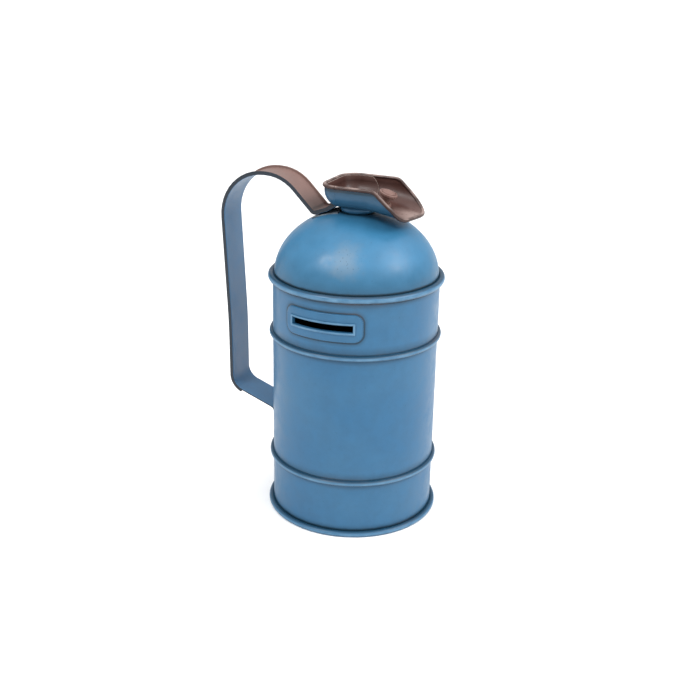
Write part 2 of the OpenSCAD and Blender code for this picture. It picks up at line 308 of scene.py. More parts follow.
def draw_outline(name, points, closed=True):
    """Draws a chain of points in the XZ plane, by extruding one point to the next"""
    piece = fresh(name, bpy.ops.mesh.primitive_plane_add, size=1)
    bpy.ops.mesh.select_mode(type="VERT")  # a lone point stays selected only in this mode
    bpy.ops.mesh.select_all(action="SELECT")
    bpy.ops.mesh.merge(type="CENTER")
    here = Vector((0, 0))
    if closed:
        points = points + points[:1]
    for i, point in enumerate(points):
        step = mm(point[0] - here.x, 0, point[1] - here.y)
        if i == 0:
            bpy.ops.transform.translate(value=step)
        else:
            bpy.ops.mesh.extrude_vertices_move(TRANSFORM_OT_translate={"value": step})
        here = Vector(point)
    bpy.ops.mesh.select_all(action="SELECT")
    return piece


def spin_shut(steps=ROUND):
    """Spins the selected outline all the way round Z and closes it"""
    bpy.ops.mesh.spin(steps=steps, angle=2 * math.pi, center=(0, 0, 0), axis=(0, 0, 1))
    bpy.ops.mesh.select_all(action="SELECT")
    bpy.ops.mesh.remove_doubles(threshold=0.01 * MM)
    bpy.ops.mesh.normals_make_consistent(inside=False)


def turned(name, corners, closed=True, steps=ROUND):
    """A shape spun from an outline of (radius, height, corner radius)"""
    piece = draw_outline(name, rounded(corners), closed)
    spin_shut(steps)
    return piece


def hoop(name, centre_r, height, radius, inner_r, lowest=-1.0):
    """A hoop: a round wire, flattened where it lies on the wall or on the ground"""
    piece = fresh(
        name, bpy.ops.mesh.primitive_circle_add, vertices=28, radius=radius * MM,
        location=mm(centre_r, 0, height), rotation=(math.pi / 2, 0, 0),
    )
    pick("verts", lambda v: v.co.x < inner_r * MM)
    bpy.ops.transform.resize(value=(0, 1, 1), center_override=mm(inner_r, 0, height))
    pick("verts", lambda v: v.co.z < lowest * MM)
    bpy.ops.transform.resize(value=(1, 1, 0), center_override=mm(centre_r, 0, max(lowest, 0)))
    bpy.ops.mesh.select_all(action="SELECT")
    spin_shut()
    return piece


# ---- finishes ---------------------------------------------------------------------


def add(tree, kind, inputs=None, stops=None, **settings):
    """Adds a node with its settings. An input is a value, or the socket that it is linked from"""
    node = tree.nodes.new(kind)
    for key, value in settings.items():
        setattr(node, key, value)
    for key, value in (inputs or {}).items():
        if isinstance(value, bpy.types.NodeSocket):
            tree.links.new(value, node.inputs[key])
        else:
            node.inputs[key].default_value = value
    if stops:
        band = node.color_ramp.elements
        while len(band) < len(stops):
            band.new(0.5)
        for element, (place, value) in zip(band, stops):
            element.position = place
            element.color = value if isinstance(value, tuple) else (value, value, value, 1)
    return node


TALL = 180.0  # heights are given to the ramps as a part of this
# the dark line in a crease is glaze and painted shade
GLAZE_AND_SHADE_LINE = 0.45  # half the width of the dark line in a crease

# Tones of each finish: the colours of paint, faded paint, glaze (which also paints the shade in the creases), rust, and
# rubbed paint (which also paints highlights)
BLUE = ("blue", "blue_grey", "teal", "umber", "blue_pale_worn_and_lit")
DOME = ("lit_blue_dome", "blue_grey", "teal", "teal", "bare")
BROWN = ("brown", "brown_worn", "brown_dark", "brown_dark", "brown_pale_worn_and_lit")
KNOB = ("brown_worn", "brown_pale_worn_and_lit", "brown_dark", "brown_dark", "brown_pale_worn_and_lit")
RIM = ("brown_dark", "brown", "brown_dark", "brown_dark", "brown_pale_worn_and_lit")
EDGE = ("brown_pale_worn_and_lit", "bare", "brown_dark", "brown", "bare")
STRAP_IN = ("strap_in", "strap_faded", "teal", "umber", "blue_pale_worn_and_lit")
STRAP_OUT = ("strap_out", "brown_worn", "brown_dark", "brown_dark", "brown_pale_worn_and_lit")
STRAP_EDGE = ("strap_edge", "strap_edge", "teal", "umber", "blue_pale_worn_and_lit")


def new_finish(name):
    """A material with only its shader and output left"""
    material = bpy.data.materials.new(name)
    material.use_nodes = True
    tree = material.node_tree
    tree.nodes.clear()
    shader = add(tree, "ShaderNodeBsdfPrincipled")
    add(tree, "ShaderNodeOutputMaterial", {"Surface": shader.outputs["BSDF"]})
    return material, tree, shader


def worn_paint(
    name, tones, creases=(), rings=(), rubbed_and_lit=None, plate=False, worn_and_lit_top=False, shaded_copy=None, worn_spot_and_sheen=None,
    roughness=0.36,
):
    """Distressed enamel paint sprayed on tin, with a dark glaze wiped into the creases and the shade there painted into
    the same dark bands.

    tones: names of the colours of paint, faded paint, glaze (also the painted shade in the creases), rust, and rubbed
    paint (also painted highlights and reflections).
    creases: (height, reach below, reach above, strength) of each band of glaze and painted shade.
    rings: the same by the distance from the can's axis.
    rubbed_and_lit: (from, to) distance from the axis between which the paint is rubbed pale and given a painted
    highlight.
    worn_and_lit_top: the paint is made pale where it faces up, as rubbed paint and a painted highlight.
    shaded_copy: a darker copy of the paint, painted shade for a part that is always in the shade.
    worn_spot_and_sheen: (x, y, z, radius, strength) of a pale spot with dark specks in it: a worn spot on the dome, and
    on the scoop's floor a painted reflection of the light.
    """
    material, tree, shader = new_finish(name)
    paint, faded, glaze, rust, pale = (tuple(getattr(colours(), tone)) for tone in tones)
    # painted shade: the darker copy takes the paint's place, and the paint becomes its faded tone
    if shaded_copy:
        paint, faded = tuple(shaded_copy), paint
    place = add(tree, "ShaderNodeTexCoord").outputs["Object"]
    cloud = add(tree, "ShaderNodeTexNoise", {"Vector": place, "Scale": 1 / (38 * MM), "Detail": 3.0})
    mottle = add(tree, "ShaderNodeTexNoise", {"Vector": place, "Scale": 1 / (7 * MM), "Detail": 5.0, "Roughness": 0.6})
    grain = add(tree, "ShaderNodeTexNoise", {"Vector": place, "Scale": 1 / (1.1 * MM), "Detail": 4.0, "Roughness": 0.7})
    axes = add(tree, "ShaderNodeSeparateXYZ", {"Vector": place})

    # the paint's own colour, faded in soft clouds
    fade = add(tree, "ShaderNodeValToRGB", {"Fac": cloud.outputs["Fac"]}, stops=[(0.38, 0.0), (0.72, 0.4)])
    body = add(tree, "ShaderNodeMix", {"Factor": fade.outputs["Color"], "A": paint, "B": faded}, data_type="RGBA")
    fleck = add(tree, "ShaderNodeValToRGB", {"Fac": mottle.outputs["Fac"]}, stops=[(0.35, 0.94), (0.65, 1.04)])
    body = add(
        tree, "ShaderNodeMix", {"Factor": 1.0, "A": body.outputs["Result"], "B": fleck.outputs["Color"]},
        data_type="RGBA", blend_type="MULTIPLY",
    )
    here = body.outputs["Result"]

    # how far up, and how far out, each with an uneven edge
    waver = add(tree, "ShaderNodeMapRange", {"Value": mottle.outputs["Fac"], "To Min": -0.5 * MM, "To Max": 0.5 * MM})
    height = add(tree, "ShaderNodeMath", {0: axes.outputs["Z"], 1: waver.outputs["Result"]}, operation="ADD")
    height = add(tree, "ShaderNodeMath", {0: height.outputs[0], 1: 1 / (TALL * MM)}, operation="MULTIPLY")
    flat = add(tree, "ShaderNodeCombineXYZ", {"X": axes.outputs["X"], "Y": axes.outputs["Y"]})
    out = add(tree, "ShaderNodeVectorMath", {0: flat.outputs[0]}, operation="LENGTH")
    across = add(tree, "ShaderNodeMath", {0: out.outputs["Value"], 1: 1 / (TALL * MM)}, operation="MULTIPLY")
    glaze_and_shade_bands = []
    for bands, value in ((creases, height.outputs[0]), (rings, across.outputs[0])):
        if not bands:
            continue
        stops = [(0.0, 0.0)]
        for at, below, above, strength in bands:
            # darkest right in the crease, with a soft film that thins out away from it: glaze, and painted shade where
            # the crease lies in shade
            film = GLAZE_AND_SHADE_LINE * 1.6
            for away, depth in (
                (-below, 0.0), (-film, 0.4), (-GLAZE_AND_SHADE_LINE, 1.0), (GLAZE_AND_SHADE_LINE, 1.0), (film, 0.4), (above, 0.0),
            ):
                if -below <= away <= above:
                    stops.append(((at + away) / TALL, depth * strength))
        glaze_and_shade_bands.append(add(tree, "ShaderNodeValToRGB", {"Fac": value}, stops=stops).outputs["Color"])
    if plate:
        glaze_and_shade_bands.append(plate_outline(tree, axes))
    # the creases darken with glaze and with painted shade, the glaze's colour broken by patches of rust
    if glaze_and_shade_bands:
        mask = glaze_and_shade_bands[0]
        for more in glaze_and_shade_bands[1:]:
            mask = add(tree, "ShaderNodeMath", {0: mask, 1: more}, operation="MAXIMUM").outputs[0]
        patch = add(tree, "ShaderNodeValToRGB", {"Fac": cloud.outputs["Fac"]}, stops=[(0.56, 0.0), (0.76, 0.75)])
        glaze_and_shade_mix = add(tree, "ShaderNodeMix", {"Factor": patch.outputs["Color"], "A": glaze, "B": rust}, data_type="RGBA")
        glaze_and_shade_mix = add(tree, "ShaderNodeMix", {"Factor": mask, "A": here, "B": glaze_and_shade_mix.outputs["Result"]}, data_type="RGBA")
        here = glaze_and_shade_mix.outputs["Result"]
    # pale on the outermost faces: rubbed paint and a painted highlight
    if rubbed_and_lit:
        low, high = rubbed_and_lit
        edge = add(
            tree, "ShaderNodeMapRange", {"Value": out.outputs["Value"], "From Min": low * MM, "From Max": high * MM}
        )
        here = rub_and_highlight(tree, here, pale, edge, mottle, [(0.3, 0.1), (0.7, 0.4)])
    # pale where the surface faces up: rubbed paint and a painted highlight
    if worn_and_lit_top:
        facing = add(tree, "ShaderNodeNewGeometry")
        facing = add(tree, "ShaderNodeSeparateXYZ", {"Vector": facing.outputs["Normal"]})
        edge = add(tree, "ShaderNodeMapRange", {"Value": facing.outputs["Z"], "From Min": 0.1, "From Max": 0.9})
        here = rub_and_highlight(tree, here, pale, edge, mottle, [(0.42, 0.1), (0.62, 0.8)])
    # a pale spot with dark specks; on the scoop's floor the pale is a painted reflection of the overhead light
    if worn_spot_and_sheen:
        *spot_at, reach, strength = worn_spot_and_sheen
        spot = add(tree, "ShaderNodeVectorMath", {0: place, 1: mm(*spot_at)}, operation="SUBTRACT")
        spot = add(tree, "ShaderNodeVectorMath", {0: spot.outputs[0]}, operation="LENGTH")
        ragged = add(
            tree, "ShaderNodeMapRange", {"Value": mottle.outputs["Fac"], "To Min": -6 * MM, "To Max": 6 * MM},
        )
        spot = add(tree, "ShaderNodeMath", {0: spot.outputs["Value"], 1: ragged.outputs["Result"]}, operation="ADD")
        near = add(
            tree, "ShaderNodeMapRange",
            {"Value": spot.outputs[0], "From Min": 0.0, "From Max": reach * MM, "To Min": strength, "To Max": 0.0},
            interpolation_type="SMOOTHSTEP",
        )
        here = add(
            tree, "ShaderNodeMix", {"Factor": near.outputs["Result"], "A": here, "B": pale},
            data_type="RGBA",
        ).outputs["Result"]
        dots = add(tree, "ShaderNodeTexVoronoi", {"Vector": place, "Scale": 1 / (1.7 * MM), "Randomness": 1.0})
        dots = add(tree, "ShaderNodeValToRGB", {"Fac": dots.outputs["Distance"]}, stops=[(0.12, 1.0), (0.2, 0.0)])
        dots = add(
            tree, "ShaderNodeMath", {0: dots.outputs["Color"], 1: near.outputs["Result"]}, operation="MULTIPLY"
        )
        dots = add(tree, "ShaderNodeMath", {0: dots.outputs[0], 1: 2.5}, operation="MULTIPLY", use_clamp=True)
        here = add(
            tree, "ShaderNodeMix", {"Factor": dots.outputs[0], "A": here, "B": rust}, data_type="RGBA"
        ).outputs["Result"]

    # fine dark specks, where the paint caught dust
    speck = add(tree, "ShaderNodeValToRGB", {"Fac": grain.outputs["Fac"]}, stops=[(0.27, 0.45), (0.36, 1.0)])
    here = add(
        tree, "ShaderNodeMix", {"Factor": 0.6, "A": here, "B": speck.outputs["Color"]},
        data_type="RGBA", blend_type="MULTIPLY",
    ).outputs["Result"]
    tree.links.new(here, shader.inputs["Base Color"])
    gloss = add(
        tree, "ShaderNodeMapRange",
        {"Value": mottle.outputs["Fac"], "From Min": 0.3, "From Max": 0.7, "To Min": roughness - 0.06,
         "To Max": roughness + 0.12},
    )
    tree.links.new(gloss.outputs["Result"], shader.inputs["Roughness"])
    bump = add(
        tree, "ShaderNodeBump", {"Height": grain.outputs["Fac"], "Strength": 0.25, "Distance": 0.06 * MM}
    )
    wave = add(
        tree, "ShaderNodeBump",
        {"Height": cloud.outputs["Fac"], "Strength": 0.5, "Distance": 0.8 * MM, "Normal": bump.outputs["Normal"]},
    )
    tree.links.new(wave.outputs["Normal"], shader.inputs["Normal"])
    shader.inputs["IOR"].default_value = 1.5
    shader.inputs["Specular IOR Level"].default_value = 0.35
    return material


def rub_and_highlight(tree, here, pale, edge, mottle, stops):
    """Rubs the paint pale where edge says, more or less by the mottle; the same pale also paints a highlight there"""
    chip = add(tree, "ShaderNodeValToRGB", {"Fac": mottle.outputs["Fac"]}, stops=stops)
    wear_and_highlight = add(tree, "ShaderNodeMath", {0: edge.outputs["Result"], 1: chip.outputs["Color"]}, operation="MULTIPLY")
    wear_and_highlight = add(tree, "ShaderNodeMix", {"Factor": wear_and_highlight.outputs[0], "A": here, "B": pale}, data_type="RGBA")
    return wear_and_highlight.outputs["Result"]


def plate_outline(tree, axes):
    """Glaze and painted shade in the crease round the slot's plate, by the distance to its rounded outline"""
    s = sizes()
    round_wall = add(tree, "ShaderNodeMath", {0: axes.outputs["Y"], 1: -1.0}, operation="MULTIPLY")
    round_wall = add(
        tree, "ShaderNodeMath", {0: axes.outputs["X"], 1: round_wall.outputs[0]}, operation="ARCTAN2"
    )
    along = add(tree, "ShaderNodeMath", {0: round_wall.outputs[0], 1: s.wall_r}, operation="MULTIPLY")
    up = add(tree, "ShaderNodeMath", {0: axes.outputs["Z"], 1: s.slot_z}, operation="SUBTRACT")
    spot = add(tree, "ShaderNodeCombineXYZ", {"X": along.outputs[0], "Y": up.outputs[0]})
    spot = add(tree, "ShaderNodeVectorMath", {0: spot.outputs[0]}, operation="ABSOLUTE")
    reach = mm(PLATE_HALF_W - PLATE_CORNER, PLATE_HALF_H - PLATE_CORNER, 0)
    spot = add(tree, "ShaderNodeVectorMath", {0: spot.outputs[0], 1: reach}, operation="SUBTRACT")
    spot = add(tree, "ShaderNodeVectorMath", {0: spot.outputs[0], 1: (0, 0, 0)}, operation="MAXIMUM")
    away = add(tree, "ShaderNodeVectorMath", {0: spot.outputs[0]}, operation="LENGTH")
    band = add(tree, "ShaderNodeMath", {0: away.outputs["Value"], 1: 1 / (TALL * MM)}, operation="MULTIPLY")
    stops = [(0.0, 0.0)]
    for past_edge, strength in ((-0.3, 0.0), (0.0, 1.0), (0.5, 1.0), (0.8, 0.35), (2.6, 0.0)):
        stops.append(((PLATE_CORNER + past_edge) / TALL, strength))
    return add(tree, "ShaderNodeValToRGB", {"Fac": band.outputs[0]}, stops=stops).outputs["Color"]


# ---- the pieces -----------------------------------------------------------------


class MONEYBOX_OT_wall(Operator):
    """Rolls the wall, cuts the coin slot in it and folds the seam at its back"""

    bl_idname = "moneybox.wall"
    bl_label = "Wall"

    def execute(self, context):
        s = sizes()
        wall = fresh(
            "wall", bpy.ops.mesh.primitive_cylinder_add, vertices=ROUND, radius=s.wall_r,
            depth=(WALL_TOP - WALL_LOW) * MM, end_fill_type="NOTHING", location=mm(0, 0, (WALL_TOP + WALL_LOW) / 2),
        )
        for z in (s.slot_z - s.slot_h / 2, s.slot_z + s.slot_h / 2):
            cut((0, 0, z), (0, 0, 1))
        for x in (-s.slot_w / 2, s.slot_w / 2):
            cut((x, 0, 0), (1, 0, 0))
        for x in (-SEAM_W / 2, SEAM_W / 2):
            cut(mm(x, 0, 0), (1, 0, 0))
        stretches = (
            (SEAM_LOW * MM, s.lower_hoop - SEAM_GAP * MM),
            (s.lower_hoop + SEAM_GAP * MM, s.middle_hoop - SEAM_GAP * MM),
            (s.middle_hoop + SEAM_GAP * MM, (WALL_TOP - SEAM_GAP) * MM),
        )
        for low, high in stretches:
            cut((0, 0, low), (0, 0, 1))
            cut((0, 0, high), (0, 0, 1))
        pick("faces", lambda f: in_slot(f.calc_center_median()))
        bpy.ops.mesh.delete(type="FACE")
        finish_with(wall, "SOLIDIFY", thickness=SHEET * MM, offset=-1, use_even_offset=True)
        bpy.ops.object.mode_set(mode="EDIT")

        def on_seam(face):
            spot = face.calc_center_median()
            outside = face.normal.dot(Vector((spot.x, spot.y, 0))) > 0
            between = any(low < spot.z < high for low, high in stretches)
            return outside and between and spot.y > 0 and abs(spot.x) < SEAM_W / 2 * MM

        pick("faces", on_seam)
        bpy.ops.mesh.extrude_region_shrink_fatten(TRANSFORM_OT_shrink_fatten={"value": SEAM_T * MM})
        # the dark bands at the foot, below and above each hoop, under the shoulder hoop and round the plate are glaze
        # and painted shade
        paint = worn_paint(
            "blue_enamel_wall", BLUE, plate=True,
            creases=(
                (3.0, 2.4, 3.0, 1.0), (28.9, 2.6, 0.4, 0.75), (31.3, 0.4, 4.0, 1.0), (96.3, 2.6, 0.4, 0.75),
                (98.8, 0.4, 4.5, 1.0), (125.6, 3.0, 0.4, 1.0),
            ),
        )
        dress(wall, paint)
        hand_over(wall, "blue_paint", "can", "body_wall")
        return {"FINISHED"}


def in_slot(spot):
    """Whether a point of the front wall is in the coin slot"""
    s = sizes()
    return spot.y < 0 and abs(spot.x) < s.slot_w / 2 and abs(spot.z - s.slot_z) < s.slot_h / 2


class MONEYBOX_OT_slot_plate(Operator):
    """Presses the plate round the slot flat, then bends it to the wall"""

    bl_idname = "moneybox.slot_plate"
    bl_label = "Slot plate"

    def execute(self, context):
        s = sizes()
        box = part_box("slot_plate")
        half_w = s.wall_r * math.asin(box[1].x / (s.wall_r + PLATE_T * MM))
        half_h = (box[1].z - box[0].z) / 2
        plate = fresh(
            "slot_plate", bpy.ops.mesh.primitive_plane_add, size=1, rotation=(math.pi / 2, 0, 0),
        )
        bpy.ops.transform.resize(value=(half_w * 2, 1, half_h * 2))
        bpy.ops.mesh.bevel(offset=PLATE_CORNER * MM, segments=8, affect="VERTICES")
        slot_half = s.wall_r * math.asin(s.slot_w / 2 / s.wall_r)
        for grown in (0.0, SLOT_LIP_W * MM):
            for side in (-1, 1):
                cut((side * (slot_half + grown), 0, 0), (1, 0, 0))
                cut((0, 0, side * (s.slot_h / 2 + grown)), (0, 0, 1))

        def near(face, grown):
            spot = face.calc_center_median()
            return abs(spot.x) < slot_half + grown and abs(spot.z) < s.slot_h / 2 + grown

        pick("faces", lambda f: near(f, 0.0))
        bpy.ops.mesh.delete(type="FACE")
        finish_with(plate, "SOLIDIFY", thickness=PLATE_T * MM, offset=1, use_even_offset=True)
        bpy.ops.object.mode_set(mode="EDIT")
        pick("faces", lambda f: f.normal.y < -0.9 and near(f, SLOT_LIP_W * MM))
        bpy.ops.mesh.extrude_region_shrink_fatten(TRANSFORM_OT_shrink_fatten={"value": SLOT_LIP_T * MM})
        front = -(PLATE_T + SLOT_LIP_T) * MM

        def outer_edge(edge):
            spot = middle(edge)
            folded = edge.calc_face_angle(0) > 1
            return folded and abs(spot.y + PLATE_T * MM) < 1e-5 and not near_lip(spot)

        def near_lip(spot):
            return abs(spot.x) < slot_half + 2 * SLOT_LIP_W * MM and abs(spot.z) < s.slot_h / 2 + 2 * SLOT_LIP_W * MM

        pick("edges", outer_edge)
        bpy.ops.mesh.bevel(offset=0.45 * MM, segments=3, affect="EDGES")
        pick("edges", lambda e: abs(middle(e).y - front) < 1e-5 and e.calc_face_angle(0) > 1)
        bpy.ops.mesh.bevel(offset=0.28 * MM, segments=3, affect="EDGES")
        for k in range(-20, 21):
            cut((k * half_w / 20.5, 0, 0), (1, 0, 0))
        wide = 2 * half_w
        finish_with(plate, "SIMPLE_DEFORM", deform_method="BEND", deform_axis="Z", angle=wide / s.wall_r)
        plate.location = (0, -s.wall_r, s.slot_z)
        # the slot's raised lip is painted pale: rubbed paint and a painted highlight
        paint = worn_paint("blue_enamel_plate", BLUE, rubbed_and_lit=(43.5, 43.9))
        dress(plate, paint)
        hand_over(plate, "blue_paint", "can", "slot_plate")
        return {"FINISHED"}


class MONEYBOX_OT_hoops(Operator):
    """Bends the foot and the three hoops round the can"""

    bl_idname = "moneybox.hoops"
    bl_label = "Hoops"

    def execute(self, context):
        s = sizes()
        wall_r = s.wall_r / MM
        hoop_r = s.hoop_r / MM
        centre = wall_r + hoop_r - 0.8
        lower, mid = s.lower_hoop / MM, s.middle_hoop / MM
        for name, place, height, radius, inner, lowest, node in (
            ("foot", wall_r + 1.08, 1.35, 1.5, wall_r - 0.1, 0.0, "foot_hoop"),
            ("lower_hoop", centre, lower, hoop_r, wall_r - 0.1, -1.0, "lower_hoop"),
            ("middle_hoop", centre, mid, hoop_r, wall_r - 0.1, -1.0, "middle_hoop"),
            ("shoulder_hoop", wall_r + 0.58, 127.2, 1.75, wall_r - 0.9, -1.0, "shoulder_hoop"),
        ):
            ring = hoop(name, place, height, radius, inner, lowest)
            # the hoop's outer face is rubbed pale and given a painted highlight; the dark lines below and above it are
            # glaze and painted shade
            paint = worn_paint(
                "blue_enamel_" + name, BLUE, rubbed_and_lit=(place + radius * 0.72, place + radius),
                creases=((height - radius, 0.8, radius * 0.7, 0.9), (height + radius, radius * 0.5, 0.8, 0.7)),
            )
            dress(ring, paint)
            hand_over(ring, "blue_paint", "can", node)
        return {"FINISHED"}


class MONEYBOX_OT_dome(Operator):
    """Raises the dome, with a skirt that slides into the wall"""

    bl_idname = "moneybox.dome"
    bl_label = "Dome"

    def execute(self, context):
        s = sizes()
        dome_r = s.wall_r - (SHEET + DOME_GAP) * MM
        top = WALL_TOP * MM
        dome = fresh(
            "dome", bpy.ops.mesh.primitive_uv_sphere_add, segments=ROUND, ring_count=96, radius=dome_r,
            location=(0, 0, top),
        )
        cut((0, 0, top), (0, 0, -1), drop_outer=True)
        bpy.ops.mesh.select_all(action="SELECT")
        bpy.ops.transform.resize(value=(1, 1, s.dome_h / dome_r), center_override=(0, 0, top))
        pick("edges", lambda e: e.is_boundary)
        bpy.ops.mesh.extrude_edges_move(TRANSFORM_OT_translate={"value": mm(0, 0, -SKIRT)})
        bpy.ops.mesh.select_all(action="SELECT")
        bpy.ops.mesh.normals_make_consistent(inside=False)
        finish_with(dome, "SOLIDIFY", thickness=SHEET * MM, offset=-1, use_even_offset=True)
        # the dome's lighter blue is painted light; the dark bands above the shoulder hoop and round the collar are
        # glaze and painted shade; the pale spot is a worn spot
        paint = worn_paint(
            "blue_enamel_dome", DOME, creases=((129.0, 0.6, 14.0, 1.0),),
            rings=((8.9, 3.0, 3.6, 1.0),), worn_spot_and_sheen=(9.5, -35.0, 144.5, 12, 0.22),
        )
        dress(dome, paint)
        hand_over(dome, "blue_paint", "can", "dome")
        return {"FINISHED"}


class MONEYBOX_OT_base(Operator):
    """Turns the recessed base plate and the plug that closes its hole"""

    bl_idname = "moneybox.base"
    bl_label = "Base and plug"

    def execute(self, context):
        c = colours()
        plate = turned(
            "base_plate",
            ((15, 4, 0), (15, 4.6, 0), (41.2, 4.6, 0.9), (41.8, 4.0, 0), (41.8, 0.6, 0), (41.2, 0.6, 0),
             (41.2, 3.6, 0.4), (40.8, 4, 0)),
        )
        dress(plate, bare_tin("bare_tin_base"))
        hand_over(plate, "bare_tin", "can", "base_plate")
        plug = turned(
            "plug",
            ((0, 7, 0), (12.7, 7, 0.5), (12.7, 9.6, 0.3), (14.92, 9.6, 0.6), (14.92, 4, 0.3), (17.4, 4, 0.5),
             (17.4, 2.5, 0.6), (12.7, 2.5, 0.6), (12.7, 6, 0.6), (0, 6, 0)),
            closed=False, steps=96,
        )
        bpy.ops.object.mode_set(mode="OBJECT")
        fresh("plug_bar", bpy.ops.mesh.primitive_cube_add, size=1, location=mm(0, 0, 4.4), scale=mm(25.6, 3, 3.6))
        bpy.ops.mesh.bevel(offset=0.5 * MM, segments=3, affect="EDGES")
        bpy.ops.object.mode_set(mode="OBJECT")
        plug.select_set(True)
        context.view_layer.objects.active = plug
        bpy.ops.object.join()
        material, tree, shader = new_finish("moulded_rubber_plug")
        place = add(tree, "ShaderNodeTexCoord").outputs["Object"]
        grain = add(tree, "ShaderNodeTexNoise", {"Vector": place, "Scale": 1 / (0.8 * MM), "Detail": 3.0})
        dust = add(
            tree, "ShaderNodeMix",
            {"Factor": grain.outputs["Fac"], "A": tuple(c.rubber), "B": linear("#34343a")}, data_type="RGBA",
        )
        bump = add(tree, "ShaderNodeBump", {"Height": grain.outputs["Fac"], "Strength": 0.3, "Distance": 0.05 * MM})
        rough = add(tree, "ShaderNodeMapRange", {"Value": grain.outputs["Fac"], "To Min": 0.5, "To Max": 0.75})
        tree.links.new(dust.outputs["Result"], shader.inputs["Base Color"])
        tree.links.new(bump.outputs["Normal"], shader.inputs["Normal"])
        tree.links.new(rough.outputs["Result"], shader.inputs["Roughness"])
        dress(plug, material)
        hand_over(plug, "plug_rubber", "plug", "base_plug")
        return {"FINISHED"}


def bare_tin(name):
    """Unpainted tinplate, dulled and stained: a metal with cloudy grey oxide over it"""
    material, tree, shader = new_finish(name)
    place = add(tree, "ShaderNodeTexCoord").outputs["Object"]
    cloud = add(tree, "ShaderNodeTexNoise", {"Vector": place, "Scale": 1 / (9 * MM), "Detail": 6.0, "Roughness": 0.65})
    grain = add(tree, "ShaderNodeTexNoise", {"Vector": place, "Scale": 1 / (0.7 * MM), "Detail": 3.0})
    skin = add(
        tree, "ShaderNodeValToRGB", {"Fac": cloud.outputs["Fac"]},
        stops=[(0.3, linear("#4a4644")), (0.5, linear("#6c757c")), (0.7, linear("#8d979d"))],
    )
    rough = add(tree, "ShaderNodeMapRange", {"Value": cloud.outputs["Fac"], "To Min": 0.35, "To Max": 0.65})
    bump = add(tree, "ShaderNodeBump", {"Height": grain.outputs["Fac"], "Strength": 0.3, "Distance": 0.04 * MM})
    tree.links.new(skin.outputs["Color"], shader.inputs["Base Color"])
    tree.links.new(rough.outputs["Result"], shader.inputs["Roughness"])
    tree.links.new(bump.outputs["Normal"], shader.inputs["Normal"])
    shader.inputs["Metallic"].default_value = 0.7
    return material


class MONEYBOX_OT_collar(Operator):
    """Turns the ring that the scoop stands on"""

    bl_idname = "moneybox.collar"
    bl_label = "Collar"

    def execute(self, context):
        collar = fresh(
            "collar", bpy.ops.mesh.primitive_circle_add, vertices=28, radius=COLLAR_SECTION * MM,
            location=mm(COLLAR_AT[0], 0, COLLAR_AT[1]), rotation=(math.pi / 2, 0, 0),
        )
        pick("verts", lambda v: v.co.z > COLLAR_TOP * MM)
        bpy.ops.transform.resize(value=(1, 1, 0), center_override=mm(0, 0, COLLAR_TOP))
        pick("verts", lambda v: v.co.x < COLLAR_INNER * MM)
        bpy.ops.transform.resize(value=(0, 1, 1), center_override=mm(COLLAR_INNER, 0, 0))
        bpy.ops.mesh.select_all(action="SELECT")
        spin_shut(96)
        # dark lines where the collar meets the dome and under the scoop: glaze and painted shade
        paint = worn_paint(
            "blue_enamel_collar", BLUE, creases=((159.6, 1.0, 1.3, 0.9), (163.2, 0.9, 1.0, 0.8)),
        )
        dress(collar, paint)
        hand_over(collar, "blue_paint", "can", "neck_collar")
        return {"FINISHED"}


